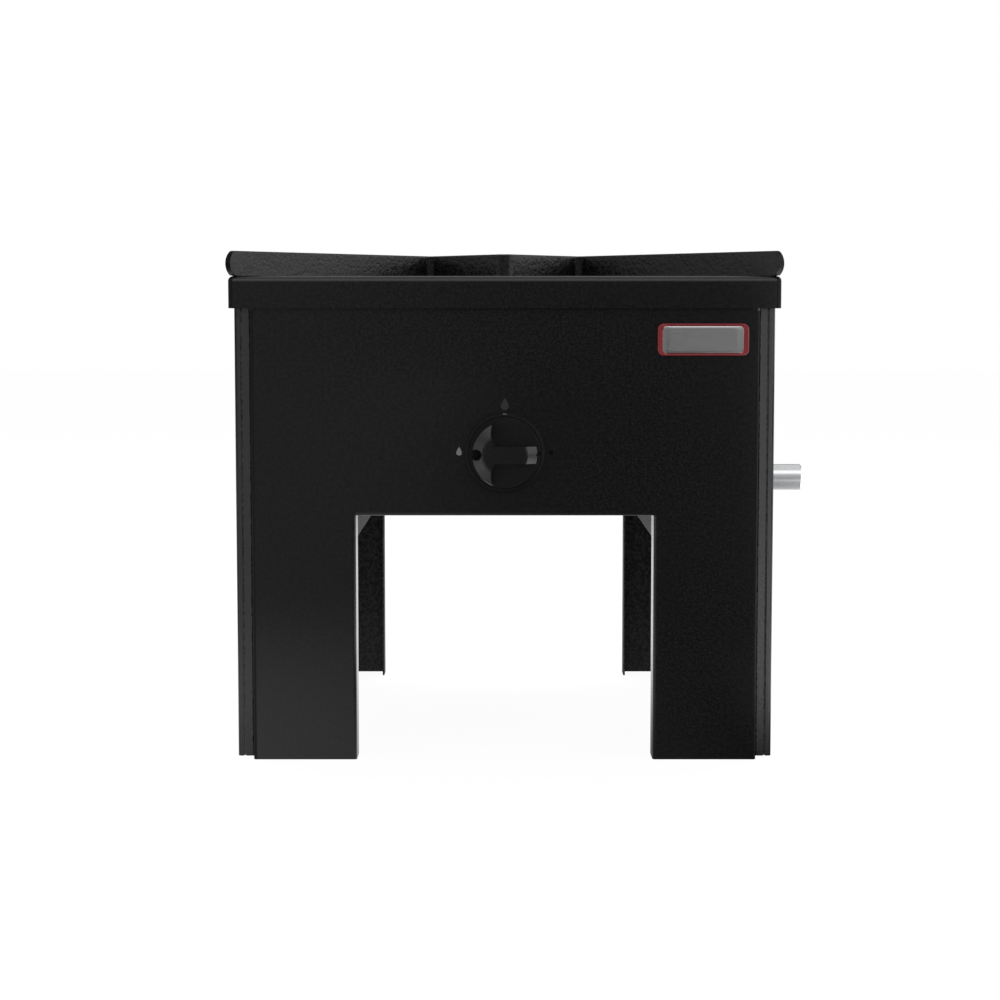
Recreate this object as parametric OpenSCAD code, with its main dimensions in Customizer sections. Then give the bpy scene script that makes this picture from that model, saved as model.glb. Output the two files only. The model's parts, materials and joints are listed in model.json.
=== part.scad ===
// Single-burner propane stand: a folded sheet body on four legs, a drip tray, a cast burner fed
// through a tap on a manifold tube, and a loose cast grate that carries the pot.
// +X is the viewer's right, +Y is the rear, +Z is up. The origin is on the floor, under the middle.

/* [Body] */
// Width over the two side panels
body_w = 400; // [360:1:480]
// Depth from the front panel's face to the rear panel's face
body_d = 400; // [360:1:480]
// Height of the panels' top flanges, which carry the tray
body_h = 356.7; // [330:0.1:420]
// Thickness of the folded sheet
sheet = 1.5; // [1:0.1:2]
// Inside radius of every sheet bend
bend = 1; // [0.8:0.1:1.5]
// How far the front and rear panels stand out from the corner flanges
panel_step = 13.8; // [10:0.1:18]
// How far the front panel's edge is from the side of the body
panel_inset = 13.15; // [12:0.05:18]
// Width of the lip that closes the corner, on the front and rear panels
panel_lip = 7.25; // [6:0.05:8]
// Dark gap between the two lips of one corner
corner_gap = 1.5; // [1:0.1:3]
// Depth of the inward flange along the top of each panel
top_flange = 12; // [9:0.5:14]
// Length of a corner post's leg along the side panel
post_leg = 20; // [14:0.5:30]

/* [Arches] */
// Width of the opening between two legs
arch_w = 220; // [190:1:240]
// Height of the opening above the floor
arch_h = 182.2; // [160:0.1:200]
// Depth of the flange folded in around each opening
arch_flange = 23; // [16:0.5:30]

/* [Tray] */
// Gap between the body and the tray's skirt
tray_gap = 1; // [0.6:0.1:2]
// Height of the tray's skirt
tray_skirt = 23.5; // [16:0.5:32]
// Outside radius of the tray's folded edges and corners
tray_round = 4.5; // [3:0.1:6]
// Radius where the dish begins
dish_r = 150; // [140:1:165]
// Depth of the dish
dish_depth = 12; // [8:0.5:14]
// Radius of the burner opening
opening_r = 89; // [86:0.5:94]
// Height of the lip around the burner opening
opening_lip = 4; // [4:0.5:6]

/* [Grate] */
// Distance between opposite corners of the grate, measured along X
grate_w = 408; // [390:1:420]
// Height of the ribs
rib_h = 18; // [14:0.5:24]
// Thickness of the ribs at the top
rib_t = 5; // [4:0.1:7]
// Rounding along the top edges of the ribs
rib_round = 1.2; // [0.6:0.1:1.8]
// Half of the diamond's diagonal, before its corners are rounded
diamond_r = 121; // [115:1:130]
// Outside radius of the diamond's corners
diamond_round = 9; // [7:0.5:12]
// Radius of the cast fillets where the corner ribs meet the diamond
rib_fillet = 6; // [3:0.5:10]
// How far the ends of the ribs bulge
rib_bulge = 4.4; // [3:0.1:8]
// Height of the lugs that centre the grate in the dish
lug_h = 4; // [3:0.5:6]

/* [Burner] */
// Radius of the burner's cap
cap_r = 75; // [70:1:78]
// Height of the cap's seat on the bowl
bowl_top = 335; // [330:0.5:336]
// Height of the cap above its seat
cap_h = 17; // [14:0.5:19]
// Number of flame ports around the cap
ports = 40; // [24:2:48]
// Height of the burner straps
strap_z = 265; // [255:1:272]
// Width of a burner strap
strap_w = 25; // [20:1:30]
// Thickness of a burner strap
strap_t = 3; // [2.5:0.1:4]
// Distance of a strap from the middle
strap_y = 45; // [42:1:50]
// Radius of the mixing tube's throat
throat_r = 12; // [9:0.5:14]
// Outside radius of the mixing tube's mouth
mouth_r = 22; // [20:0.5:24]
// Travel of the air shutter
shutter_travel = 12; // [6:0.5:14]

/* [Rails] */
// Height of the rails' lower edge
rail_z = 161; // [158:0.5:166]
// Height of a rail
rail_h = 27; // [24:0.5:27]
// Width of a rail's flanges
rail_flange = 20; // [18:0.5:26]

/* [Gas] */
// Height of the tap's axis
tap_z = 228.9; // [222:0.1:240]
// Radius of the manifold tube
manifold_r = 10.25; // [8:0.05:11]
// Radius of the manifold's free end, which takes the gas fitting
inlet_r = 10; // [7.5:0.05:10.5]
// Wall of the manifold tube
manifold_wall = 2; // [1.5:0.1:3]
// Distance of the manifold's axis behind the front face
manifold_y = 80; // [76:0.5:86]
// How far the manifold stands out of the side panel
inlet_length = 28.9; // [25:0.1:60]
// Radius of the copper feed tube
feed_r = 4; // [3:0.1:5]
// Clearance around parts that turn or slide in each other
run = 0.05; // [0.02:0.01:0.08]
// Travel of the knob when it is pushed
push = 3; // [2:0.1:3.4]

/* [Knob] */
// Outside radius of the bezel
bezel_r = 29.7; // [28:0.1:32]
// Radius of the knob's base
knob_r = 26.4; // [24:0.1:27]
// Height of the knob above the panel
knob_h = 35; // [30:0.5:40]
// Width of the knob's grip bar
grip_w = 12.4; // [10:0.1:14]

/* [Hidden] */
$fn = 64;
eps = 0.01;

black = [0.10, 0.10, 0.10];
iron = [0.14, 0.14, 0.14];
steel = [0.62, 0.63, 0.65];
zinc = [0.75, 0.76, 0.78];
brass = [0.78, 0.62, 0.30];
copper = [0.72, 0.45, 0.30];

// ---- derived places ----
half_w = body_w / 2;
half_d = body_d / 2;
out_bend = bend + sheet;
lip_y = half_d - panel_step;
panel_half = half_w - panel_inset;
lip_end = panel_half + panel_lip;
side_lip = half_w - lip_end - corner_gap;
corner_top = body_h - out_bend - sheet;
post_gap = 0.2; // a corner post stays this far above the floor

tray_top = body_h + sheet;
tray_half_w = half_w + tray_gap + sheet;
tray_half_d = half_d + tray_gap + sheet;
dish_z = body_h - dish_depth; // underside of the dish's floor
dish_slope = 12; // how far the slope of the dish runs inwards
dish_margin = 8; // flat ring around the dish that belongs to its section

grate_z = tray_top + 0.3;
rib_reach = grate_w / 2 * sqrt(2) - rib_t / 2;
rib_arc = ((rib_h / 2) ^ 2 + rib_bulge ^ 2) / (2 * rib_bulge);
rib_draft = 0.5; // taper of a cast rib, on each side
diamond_out = diamond_r / sqrt(2);
lug_l = 8; // length of a centring lug
lug_x = dish_r - dish_slope / 2 - lug_l + 1;

rail_x = arch_w / 2 + sheet;
rail_top = rail_z + rail_h;
rail_mid = rail_x + rail_flange / 2;
rail_end = half_d - sheet - out_bend;
strap_half = rail_x - 3.5; // outside of the strap's upright legs

// ---- screws ----
m4_r = 2; // radius of an M4 screw
m6_r = 3; // radius of an M6 bolt
m4_flats = 7;
m4_head = 3;
m6_flats = 10;
m6_head = 4;
m4_nut = 3.2;
m6_nut = 5;
pan_r = 3.8; // radius of a pan head
pan_h = 2.4; // height of a pan head
loose = 0.2; // clearance around a screw or a socketed tube
snug = 0.1; // clearance around a fitted tube
bite = 0.05; // how much smaller a screw is than its tapped hole
thread_end = 0.5; // how far a screw stands out of its nut
cut = 1; // how far a cutter runs past the face it opens

// ---- burner ----
boss_x = 50;
boss_r = 8;
boss_z = strap_z + strap_t;
boss_grip = 12; // how far the burner's bolts reach into its bosses
neck_r = 24; // outside of the burner's elbow
tube_r = throat_r + 4; // outside of the mixing tube
passage_r = tube_r + 1; // gas way through the elbow
elbow_r = 28; // radius of the bend from the neck to the mixing tube
socket_x = 56; // mouth of the socket for the mixing tube, left of the middle
socket_r = 23;
bowl_r = cap_r + 1;
cap_rim = 7; // thickness of the cap's ported rim
seat_r = cap_r - cap_rim;
port_w = 3.2;
port_h = 5;

// ---- mixing tube and injector ----
tube_root = elbow_r + 2; // inner end of the mixing tube, left of the middle
holder_r = 6;
holder_flats = 17;
stub_r = 6.5; // radius of a threaded end for a feed nut
stub_l = 8;
nut_set = 1.5; // how far a feed nut stays off the shoulder behind the thread
bracket_t = 2; // thickness of the injector bracket and of the manifold stand's foot
rail_grip = bracket_t + sheet + m4_nut + thread_end; // length of the screws through either foot
bracket_half = 16;
bracket_screw_y = 10;
bracket_x = -rail_x - rail_flange;
lock_nut_h = 5;
shutter_hub = shutter_travel + 2;
shutter_gap = 0.5; // between the lock nut and the shutter when the shutter is fully open
shutter_x = bracket_x + bracket_t + lock_nut_h + shutter_gap + shutter_hub;
nose_x = shutter_x + 4; // front of the injector holder
mouth_out = -nose_x - 14; // mouth of the mixing tube, left of the middle
flare_l = 20; // length of the mixing tube's flare

// ---- manifold and tap, along the front ----
manifold_back = -half_d + manifold_y; // Y of the manifold's axis
barrel_r = 13; // outside of the tap's barrel
barrel_gap = 0.6; // between the barrel and the top of the manifold
manifold_z = tap_z - barrel_r - barrel_gap - manifold_r;
tube_end = half_w + inlet_length;
inlet_step = half_w + 1.8; // where the manifold narrows to its free end
plug_x = -40; // closed end of the manifold
stand_y = 16; // the manifold stand's screws, either side of the manifold
stand_half = 7; // half the length of the manifold stand
port_r = 3; // radius of the gas ways

barrel_end = manifold_back + 12;
saddle_half = 9; // half the saddle's length along the manifold
saddle_y = 18; // half the saddle's width across the manifold
clamp_y = manifold_r + 3.5;
clamp_bottom = manifold_z - manifold_r - 3;
clamp_grip = 7; // how far the clamp's bolts reach above the manifold's axis
ear_x = 19;
ear_r = 5.5;
bonnet_y = manifold_back - 66; // seat of the bonnet on the tap's body
ear_t = 5; // thickness of the ears on the tap's body
bonnet_t = 3; // thickness of the bonnet's ears
bonnet_r = 12;
bonnet_front = bonnet_y - 10;
plug_front = bonnet_y + 4.5;
plug_len = 26;
plug_r0 = 9;
plug_r1 = 7;
outlet_y = plug_front + 18; // level of the outlet in the taper plug
outlet_x = -20; // shoulder of the outlet's threaded end

// ---- stem and spring ----
stem_r = 4;
stem_flat = 3; // height of the flat above the stem's axis
collar_r = 7.5;
collar_t = 2;
collar_y = bonnet_front + 2.2;
stem_end = plug_front + 9.5;
knob_crown = 11; // plastic in front of the stem
stem_tip = -half_d - knob_h + knob_crown;
spring_wire = 0.5; // radius of the spring's wire
spring_r = 6;
spring_turns = 4;
spring_y0 = collar_y + collar_t + spring_wire;
spring_y1 = plug_front + 0.5 - spring_wire;

// ---- feed tube and thermocouple ----
feed_out = 34; // from the bracket to the feed tube's long run
feed_x = bracket_x - feed_out;
feed_bend = 14;
feed_path = [
    [bracket_x - stub_l - 0.5, 0, tap_z],
    [feed_x, 0, tap_z],
    [feed_x, outlet_y, tap_z],
    [outlet_x, outlet_y, tap_z]
];
lead_r = 1.5;
lead_bend = 9;
probe_y = -cap_r - 8;
probe_z0 = bowl_top - 19;
probe_top = bowl_top + 12;
probe_r = 2.3;
probe_head_r = 3.4;
shelf_w = 16; // the thermocouple's bracket
shelf_front = 7; // from the probe to the shelf's free end
shelf_back = 4; // from the probe to the shelf's bend
magnet_r = 6.9;

// ---- knob, heights above the front panel ----
bezel_h = 5;
bezel_gap = 0.4; // between the bezel and the knob
knob_base = 3.7;
skirt_h = 8;
shoulder_r = 24.2;
face_rise = 7.5; // from the shoulder up to the face
shoulder_h = knob_h - face_rise;
face_r = 15.1;
pocket_r = 16; // rounded end of a finger pocket
pocket_x = 5.8;
pocket_z = 15.8;
dimple_x = -20.8;
dimple_r = 3.85;
notch_w = 1.2;

// ---- folded sheet ----
function unit(v) = v / norm(v);
function left_of(v) = [-v[1], v[0]];
function turn(a, b) = a[0] * b[1] - a[1] * b[0];
function turn_angle(a, b) = acos(a * b);
function datum_radius(a, b, t, r) = turn(a, b) > 0 ? r + t : r;
function set_back(a, b, t, r) = datum_radius(a, b, t, r) * tan(turn_angle(a, b) / 2);

// The blunt tongue that carries the end of a straight run into its bend. p is a corner of the run's
// end, and across leads from it to the other corner.
function tongue(p, way, across) = [for (k = [1, 3]) p + (way * norm(across) + across * k) / 4];

// A strip of sheet seen edge on. The points are the sharp corners of its outside face, and the
// thickness lies to the left of the way they run.
module fold(points, t = sheet, r = bend) {
    last = len(points) - 1;
    ways = [for (i = [0:last - 1]) unit(points[i + 1] - points[i])];
    backs = [for (i = [0:last])
        i == 0 || i == last ? 0 : set_back(ways[i - 1], ways[i], t, r)];
    for (i = [0:last - 1]) {
        a = points[i] + ways[i] * backs[i];
        b = points[i + 1] - ways[i] * backs[i + 1];
        side = left_of(ways[i]) * t;
        polygon(concat(
            [a, b],
            i == last - 1 ? [] : tongue(b, ways[i], side),
            [b + side, a + side],
            i == 0 ? [] : tongue(a + side, -ways[i], -side)
        ));
    }
    for (i = [1:last - 1]) sheet_bend(points[i], ways[i - 1], ways[i], t, r);
}

// One bend of a strip: the sector of a ring that joins two straight runs
module sheet_bend(corner, a, b, t, r) {
    side = turn(a, b) > 0 ? 1 : -1;
    middle = corner - a * set_back(a, b, t, r) + left_of(a) * side * datum_radius(a, b, t, r);
    far = 3 * (r + t);
    intersection() {
        translate(middle) difference() {
            circle(r + t);
            circle(r);
        }
        polygon([
            middle,
            middle - left_of(a) * side * far,
            middle - (left_of(a) + left_of(b)) * side * far,
            middle - left_of(b) * side * far
        ]);
    }
}

// A profile drawn in Y and Z, run along X
module along_x(x0, x1) {
    translate([x0, 0, 0]) rotate([90, 0, 90]) linear_extrude(x1 - x0) children();
}

// A profile drawn in X and Z, run along Y
module along_y(y0, y1) {
    translate([0, y1, 0]) rotate([90, 0, 0]) linear_extrude(y1 - y0) children();
}

// A rod along Y
module rod_y(r, y0, y1, x = 0, z = 0) {
    translate([x, y1, z]) rotate([90, 0, 0]) cylinder(r = r, h = y1 - y0);
}

// A rod along X
module rod_x(r, x0, x1, y = 0, z = 0) {
    translate([x0, y, z]) rotate([0, 90, 0]) cylinder(r = r, h = x1 - x0);
}

// A rod along Z
module rod_z(r, z0, z1, x = 0, y = 0) {
    translate([x, y, z0]) cylinder(r = r, h = z1 - z0);
}

// A hexagon prism of the given width across flats
module hex_z(flats, z0, z1, x = 0, y = 0) {
    translate([x, y, z0]) cylinder(r = flats / sqrt(3), h = z1 - z0, $fn = 6);
}

module hex_x(flats, x0, x1, y = 0, z = 0) {
    translate([x0, y, z]) rotate([0, 90, 0]) cylinder(r = flats / sqrt(3), h = x1 - x0, $fn = 6);
}

module hex_y(flats, y0, y1, x = 0, z = 0) {
    translate([x, y1, z]) rotate([90, 0, 0]) cylinder(r = flats / sqrt(3), h = y1 - y0, $fn = 6);
}

// A shape and its mirror image across the plane X = 0
module both_sides() {
    children();
    mirror([1, 0, 0]) children();
}

// ---- body ----
// An arched panel that faces -Y. The tail is the run of the sheet from the face round the corner.
module arched_panel(face, tail) {
    arch = arch_w / 2;
    leg = concat([[arch, -face + arch_flange], [arch, -face]], tail);
    corner = concat([[arch, -face]], tail);
    both_sides() {
        linear_extrude(arch_h + sheet) fold(leg);
        translate([0, 0, arch_h]) linear_extrude(corner_top - arch_h) fold(corner);
    }
    flange_half = tail[0][0] - out_bend - sheet;
    hanging = [[-face + top_flange, body_h], [-face, body_h], [-face, arch_h]];
    along_x(-arch, arch) fold(concat(hanging, [[-face + arch_flange, arch_h]]));
    both_sides() along_x(arch, flange_half) fold(hanging);
}

module end_panel() {
    arched_panel(half_d, [[panel_half, -half_d], [panel_half, -lip_y], [lip_end, -lip_y]]);
}

module side_panel() {
    arched_panel(half_w, [[lip_y, -half_w], [lip_y, -half_w + side_lip]]);
}

module front_panel() {
    color(black) difference() {
        end_panel();
        rod_y(stem_r + 2, -half_d - cut, -half_d + sheet + cut, 0, tap_z);
    }
}

module rear_panel() {
    color(black) rotate([0, 0, 180]) end_panel();
}

module left_panel() {
    color(black) rotate([0, 0, -90]) side_panel();
}

module right_panel() {
    color(black) difference() {
        rotate([0, 0, 90]) side_panel();
        rod_x(manifold_r + 0.5, half_w - sheet - cut, half_w + cut, manifold_back, manifold_z);
    }
}

// Angle behind the front right corner, where the lips of both panels are welded to it
module corner_post() {
    color(black) translate([0, 0, post_gap]) linear_extrude(corner_top - post_gap - 1) fold([
        [panel_half + 0.2, -lip_y + sheet],
        [half_w - sheet, -lip_y + sheet],
        [half_w - sheet, -lip_y + sheet + post_leg]
    ]);
}

module front_right_post() corner_post();
module front_left_post() mirror([1, 0, 0]) corner_post();
module rear_right_post() mirror([0, 1, 0]) corner_post();
module rear_left_post() rotate([0, 0, 180]) corner_post();

// ---- tray ----
module rounded_square(w, h, r) {
    square([w - 2 * r, h], center = true);
    square([w, h - 2 * r], center = true);
    for (x = [-1, 1], y = [-1, 1]) translate([x * (w / 2 - r), y * (h / 2 - r)]) circle(r);
}

// Section of a lid with rounded upper edges, from its lower edge up to z1
module lid_section(half, z0, z1, r) {
    translate([-half, z0]) square([2 * half, z1 - z0 - r]);
    translate([-half + r, z0]) square([2 * (half - r), z1 - z0]);
    for (x = [-1, 1]) translate([x * (half - r), z1 - r]) circle(r);
}

module lid_block(half_x, half_y, z0, z1, r) {
    intersection() {
        translate([0, 0, z0]) linear_extrude(z1 - z0) rounded_square(2 * half_x, 2 * half_y, r);
        along_y(-half_y, half_y) lid_section(half_x, z0, z1, r);
        along_x(-half_x, half_x) lid_section(half_y, z0, z1, r);
    }
}

// Section of the dish, from the flat top down to the floor and up the lip of the burner opening
module dish_section() {
    fold([
        [opening_r, dish_z + opening_lip],
        [opening_r, dish_z],
        [dish_r - dish_slope, dish_z],
        [dish_r, body_h],
        [dish_r + dish_margin, body_h]
    ], sheet, 2);
}

module top_tray() {
    skirt_z = tray_top - tray_skirt;
    color(black) {
        difference() {
            lid_block(tray_half_w, tray_half_d, skirt_z, tray_top, tray_round);
            lid_block(half_w + tray_gap, half_d + tray_gap, skirt_z - cut, body_h, tray_round - sheet);
            rod_z(dish_r + dish_margin - eps, body_h - cut, tray_top + cut);
        }
        rotate_extrude() dish_section();
    }
}

// ---- rails and straps ----
module rail() {
    color(black) difference() {
        along_y(-rail_end, rail_end) fold([
            [rail_x + rail_flange, rail_top],
            [rail_x, rail_top],
            [rail_x, rail_z],
            [rail_x + rail_flange, rail_z]
        ]);
        for (y = [-strap_y, strap_y])
            rod_z(m6_r + loose, rail_top - sheet - cut, rail_top + cut, rail_mid, y);
    }
}

module right_rail() {
    difference() {
        rail();
        stand_holes(rail_top - sheet - cut, rail_top + cut);
    }
}

module left_rail() {
    difference() {
        mirror([1, 0, 0]) rail();
        bracket_holes(rail_top - sheet - cut, rail_top + cut);
    }
}

module strap() {
    color(steel) difference() {
        along_y(strap_y - strap_w / 2, strap_y + strap_w / 2) fold([
            [-rail_x - rail_flange, rail_top],
            [-strap_half, rail_top],
            [-strap_half, strap_z],
            [strap_half, strap_z],
            [strap_half, rail_top],
            [rail_x + rail_flange, rail_top]
        ], strap_t, 3);
        for (x = [-1, 1]) {
            rod_z(m6_r + loose, rail_top - cut, rail_top + strap_t + cut, x * rail_mid, strap_y);
            rod_z(m6_r + loose, strap_z - cut, strap_z + strap_t + cut, x * boss_x, strap_y);
        }
    }
}

module rear_strap() strap();
module front_strap() mirror([0, 1, 0]) strap();

// Hexagon bolts with the head up: the seat is under the head
module m6_bolt(seat, length, x, y) {
    hex_z(m6_flats, seat, seat + m6_head, x, y);
    rod_z(m6_r - bite, seat - length, seat + eps, x, y);
}

module m4_bolt(seat, length, x, y) {
    hex_z(m4_flats, seat, seat + m4_head, x, y);
    rod_z(m4_r - bite, seat - length, seat + eps, x, y);
}

// Hexagon nut, hanging from a seat
module nut(flats, r, h, seat, x, y) {
    difference() {
        hex_z(flats, seat - h, seat, x, y);
        rod_z(r, seat - h - cut, seat + cut, x, y);
    }
}

// Turns a bolt at a seat upside down
module head_down(seat) {
    translate([0, 0, 2 * seat]) mirror([0, 0, 1]) children();
}

module strap_bolts() {
    color(zinc) for (x = [-rail_mid, rail_mid], y = [-strap_y, strap_y])
        m6_bolt(rail_top + strap_t, strap_t + sheet + m6_nut + thread_end, x, y);
}

module strap_nuts() {
    color(zinc) for (x = [-rail_mid, rail_mid], y = [-strap_y, strap_y])
        nut(m6_flats, m6_r, m6_nut, rail_top - sheet, x, y);
}

// ---- burner ----
// Outline of the bowl and of the collar that joins it to the elbow
module bowl_outside() {
    collar = neck_r + 2;
    polygon([
        [0, tap_z + elbow_r - 3],
        [collar, tap_z + elbow_r - 3],
        [collar, boss_z],
        [neck_r + 8, boss_z + 8],
        [bowl_r - 8, bowl_top - 34],
        [bowl_r - 2, bowl_top - 22],
        [bowl_r, bowl_top - 12],
        [bowl_r, bowl_top],
        [0, bowl_top]
    ]);
}

module bowl_inside() {
    inner = passage_r + 3;
    polygon([
        [0, tap_z + elbow_r - 3],
        [inner, tap_z + elbow_r - 3],
        [inner, boss_z + 2],
        [inner + 8, boss_z + 12],
        [seat_r - 5, bowl_top - 30],
        [seat_r, bowl_top - 20],
        [seat_r, bowl_top + cut],
        [0, bowl_top + cut]
    ]);
}

// A quarter bend from the mixing tube's axis up to the middle of the bowl
module elbow(r) {
    translate([-elbow_r, 0, tap_z + elbow_r]) rotate([90, 0, 0]) rotate([0, 0, -90])
        rotate_extrude(angle = 90) translate([elbow_r, 0]) circle(r);
}

module boss_places() {
    for (x = [-boss_x, boss_x], y = [-strap_y, strap_y]) translate([x, y, 0]) children();
}

module burner_body() {
    color(iron) difference() {
        union() {
            rotate_extrude() bowl_outside();
            elbow(neck_r);
            rod_x(socket_r, -socket_x, -elbow_r + eps, 0, tap_z);
            rod_x(socket_r + 3, -socket_x, -socket_x + 8, 0, tap_z);
            boss_places() rod_z(boss_r, boss_z, bowl_top - 20);
        }
        rotate_extrude() bowl_inside();
        elbow(passage_r);
        rod_x(tube_r + loose, -socket_x - cut, -elbow_r + eps, 0, tap_z);
        boss_places() rod_z(m6_r, boss_z - cut, boss_z + boss_grip + 2);
    }
}

module burner_bolts() {
    color(zinc) head_down(strap_z) boss_places() m6_bolt(strap_z, strap_t + boss_grip, 0, 0);
}

module cap_outside() {
    polygon([
        [0, bowl_top],
        [cap_r, bowl_top],
        [cap_r, bowl_top + 10],
        [cap_r - 4, bowl_top + 13],
        [cap_r - 18, bowl_top + cap_h],
        [14, bowl_top + cap_h],
        [10, bowl_top + cap_h - 2],
        [0, bowl_top + cap_h - 2]
    ]);
}

module cap_inside() {
    polygon([
        [0, bowl_top - cut],
        [seat_r, bowl_top - cut],
        [seat_r, bowl_top + 6],
        [cap_r - 22, bowl_top + cap_h - 6],
        [0, bowl_top + cap_h - 6]
    ]);
}

// Lug that hangs into the bowl and keeps the cap in the middle
module cap_lug() {
    polygon([
        [seat_r - 4, bowl_top - 6],
        [seat_r - 1, bowl_top - 6],
        [seat_r - 1, bowl_top + 8],
        [seat_r - 4, bowl_top + 9]
    ]);
}

module burner_cap() {
    color(iron) {
        difference() {
            rotate_extrude() difference() {
                cap_outside();
                cap_inside();
            }
            for (i = [0:ports - 1]) rotate([0, 0, i * 360 / ports])
                translate([seat_r - 2, -port_w / 2, bowl_top - cut])
                    cube([cap_rim + 4, port_w, port_h + cut]);
        }
        for (i = [0:3]) rotate([0, 0, 90 * i - 15]) rotate_extrude(angle = 30) cap_lug();
    }
}

// ---- mixing tube, shutter and injector ----
// Turned about X: the profile's first number is the radius, its second the place along -X
module turned_x() {
    translate([0, 0, tap_z]) rotate([0, -90, 0]) rotate_extrude() children();
}

module mixing_tube() {
    color(iron) turned_x() difference() {
        polygon([
            [0, tube_root],
            [tube_r, tube_root],
            [tube_r, mouth_out - flare_l],
            [mouth_r - 2, mouth_out - 8],
            [mouth_r, mouth_out - 6],
            [mouth_r, mouth_out],
            [0, mouth_out]
        ]);
        polygon([
            [0, tube_root - cut],
            [throat_r + 1.5, tube_root - cut],
            [throat_r, mouth_out - flare_l - 12],
            [throat_r, mouth_out - flare_l],
            [mouth_r - 6, mouth_out - 7],
            [mouth_r - 3, mouth_out + cut],
            [0, mouth_out + cut]
        ]);
    }
}

module air_shutter() {
    color(steel) difference() {
        union() {
            rod_x(mouth_r, shutter_x, shutter_x + sheet, 0, tap_z);
            rod_x(holder_r + 3, shutter_x - shutter_hub, shutter_x + eps, 0, tap_z);
        }
        rod_x(holder_r + run, shutter_x - shutter_hub - cut, shutter_x + sheet + cut, 0, tap_z);
    }
}

module bracket_holes(z0, z1) {
    for (y = [-bracket_screw_y, bracket_screw_y]) rod_z(m4_r + loose, z0, z1, -rail_mid, y);
}

module injector_bracket() {
    color(steel) difference() {
        along_y(-bracket_half, bracket_half) fold([
            [bracket_x, tap_z + 14],
            [bracket_x, rail_top],
            [-rail_x - sheet, rail_top]
        ], bracket_t, bracket_t);
        rod_x(holder_r + loose, bracket_x - cut, bracket_x + bracket_t + cut, 0, tap_z);
        bracket_holes(rail_top - cut, rail_top + bracket_t + cut);
    }
}

// Pan head screw with its head up
module pan_screw(seat, length, x, y) {
    rod_z(pan_r, seat, seat + pan_h, x, y);
    rod_z(m4_r - bite, seat - length, seat + eps, x, y);
}

module injector_bracket_screws() {
    color(zinc) for (y = [-bracket_screw_y, bracket_screw_y])
        pan_screw(rail_top + bracket_t, rail_grip, -rail_mid, y);
}

// Turned fitting through the bracket: a feed thread, a hexagon and the barrel the shutter slides on
module injector_holder() {
    shoulder = bracket_x - 6;
    seat = nose_x - 8;
    color(brass) difference() {
        union() {
            hex_x(holder_flats, shoulder, bracket_x, 0, tap_z);
            rod_x(holder_r, bracket_x - eps, nose_x, 0, tap_z);
            rod_x(stub_r, shoulder - stub_l, shoulder + eps, 0, tap_z);
        }
        rod_x(port_r - 0.5, shoulder - stub_l - cut, seat, 0, tap_z);
        rod_x(port_r, seat - eps, nose_x + cut, 0, tap_z);
        rod_x(feed_r + snug, shoulder - stub_l - cut, bracket_x - stub_l, 0, tap_z);
    }
}

module injector_lock_nut() {
    from = bracket_x + bracket_t;
    color(brass) difference() {
        hex_x(holder_flats, from, from + lock_nut_h, 0, tap_z);
        rod_x(holder_r + snug, from - cut, from + lock_nut_h + cut, 0, tap_z);
    }
}

module injector() {
    head = nose_x + 4;
    color(brass) difference() {
        union() {
            rod_x(port_r - snug, nose_x - 7, nose_x + eps, 0, tap_z);
            hex_x(8, nose_x, head, 0, tap_z);
            turned_x() polygon([[0, -head], [3.4, -head], [2, -head - 4], [0, -head - 4]]);
        }
        rod_x(1.5, nose_x - 8, head + 1, 0, tap_z);
        rod_x(0.75, head + 1 - eps, head + 4 + cut, 0, tap_z);
    }
}

// ---- tubes that run through bends ----
// Places a child drawn about Z, starting on +X, in the bend at a corner between two directions
module bend_frame(corner, a, b, radius) {
    k = unit(cross(a, b));
    u = cross(a, k);
    middle = corner - a * radius - u * radius;
    v = cross(k, u);
    multmatrix([
        [u[0], v[0], k[0], middle[0]],
        [u[1], v[1], k[1], middle[1]],
        [u[2], v[2], k[2], middle[2]],
        [0, 0, 0, 1]
    ]) children();
}

// A rod between two points
module rod_between(p, q, r) {
    way = unit(q - p);
    tilt = acos(way[2]);
    spin = atan2(way[1], way[0]);
    translate(p) rotate([0, tilt, spin]) cylinder(r = r, h = norm(q - p));
}

// A round rod along points whose corners are square, rounded to the given radius
module bent_rod(points, r, radius) {
    last = len(points) - 1;
    ways = [for (i = [0:last - 1]) unit(points[i + 1] - points[i])];
    for (i = [0:last - 1])
        rod_between(
            points[i] + ways[i] * (i == 0 ? 0 : radius),
            points[i + 1] - ways[i] * (i == last - 1 ? 0 : radius),
            r
        );
    for (i = [1:last - 1])
        bend_frame(points[i], ways[i - 1], ways[i], radius)
            rotate_extrude(angle = 90) translate([radius, 0]) circle(r);
}

module feed_tube() {
    inner = feed_r - 1;
    color(copper) difference() {
        bent_rod(feed_path, feed_r, feed_bend);
        rod_x(inner, feed_x + feed_bend, bracket_x, 0, tap_z);
        rod_x(inner, outlet_x - feed_bend, outlet_x + cut, outlet_y, tap_z);
    }
}

// Compression nut over the end of the feed tube, its closed end away from the shoulder
module feed_nut(shoulder, y) {
    translate([shoulder - nut_set, y, tap_z]) rotate([0, -90, 0]) difference() {
        hex_z(2 * stub_r + 2, 0, stub_l + 3);
        rod_z(stub_r + snug, -cut, stub_l - 1);
        rod_z(feed_r + snug, 0, stub_l + 3 + cut);
    }
}

module injector_feed_nut() {
    color(brass) feed_nut(bracket_x - 6, 0);
}

module tap_feed_nut() {
    color(brass) feed_nut(outlet_x, outlet_y);
}

// ---- manifold ----
// Turned about the manifold's axis: the profile's first number is the radius, its second X
module turned_manifold() {
    translate([0, manifold_back, manifold_z]) rotate([0, 90, 0]) rotate_extrude() children();
}

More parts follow.
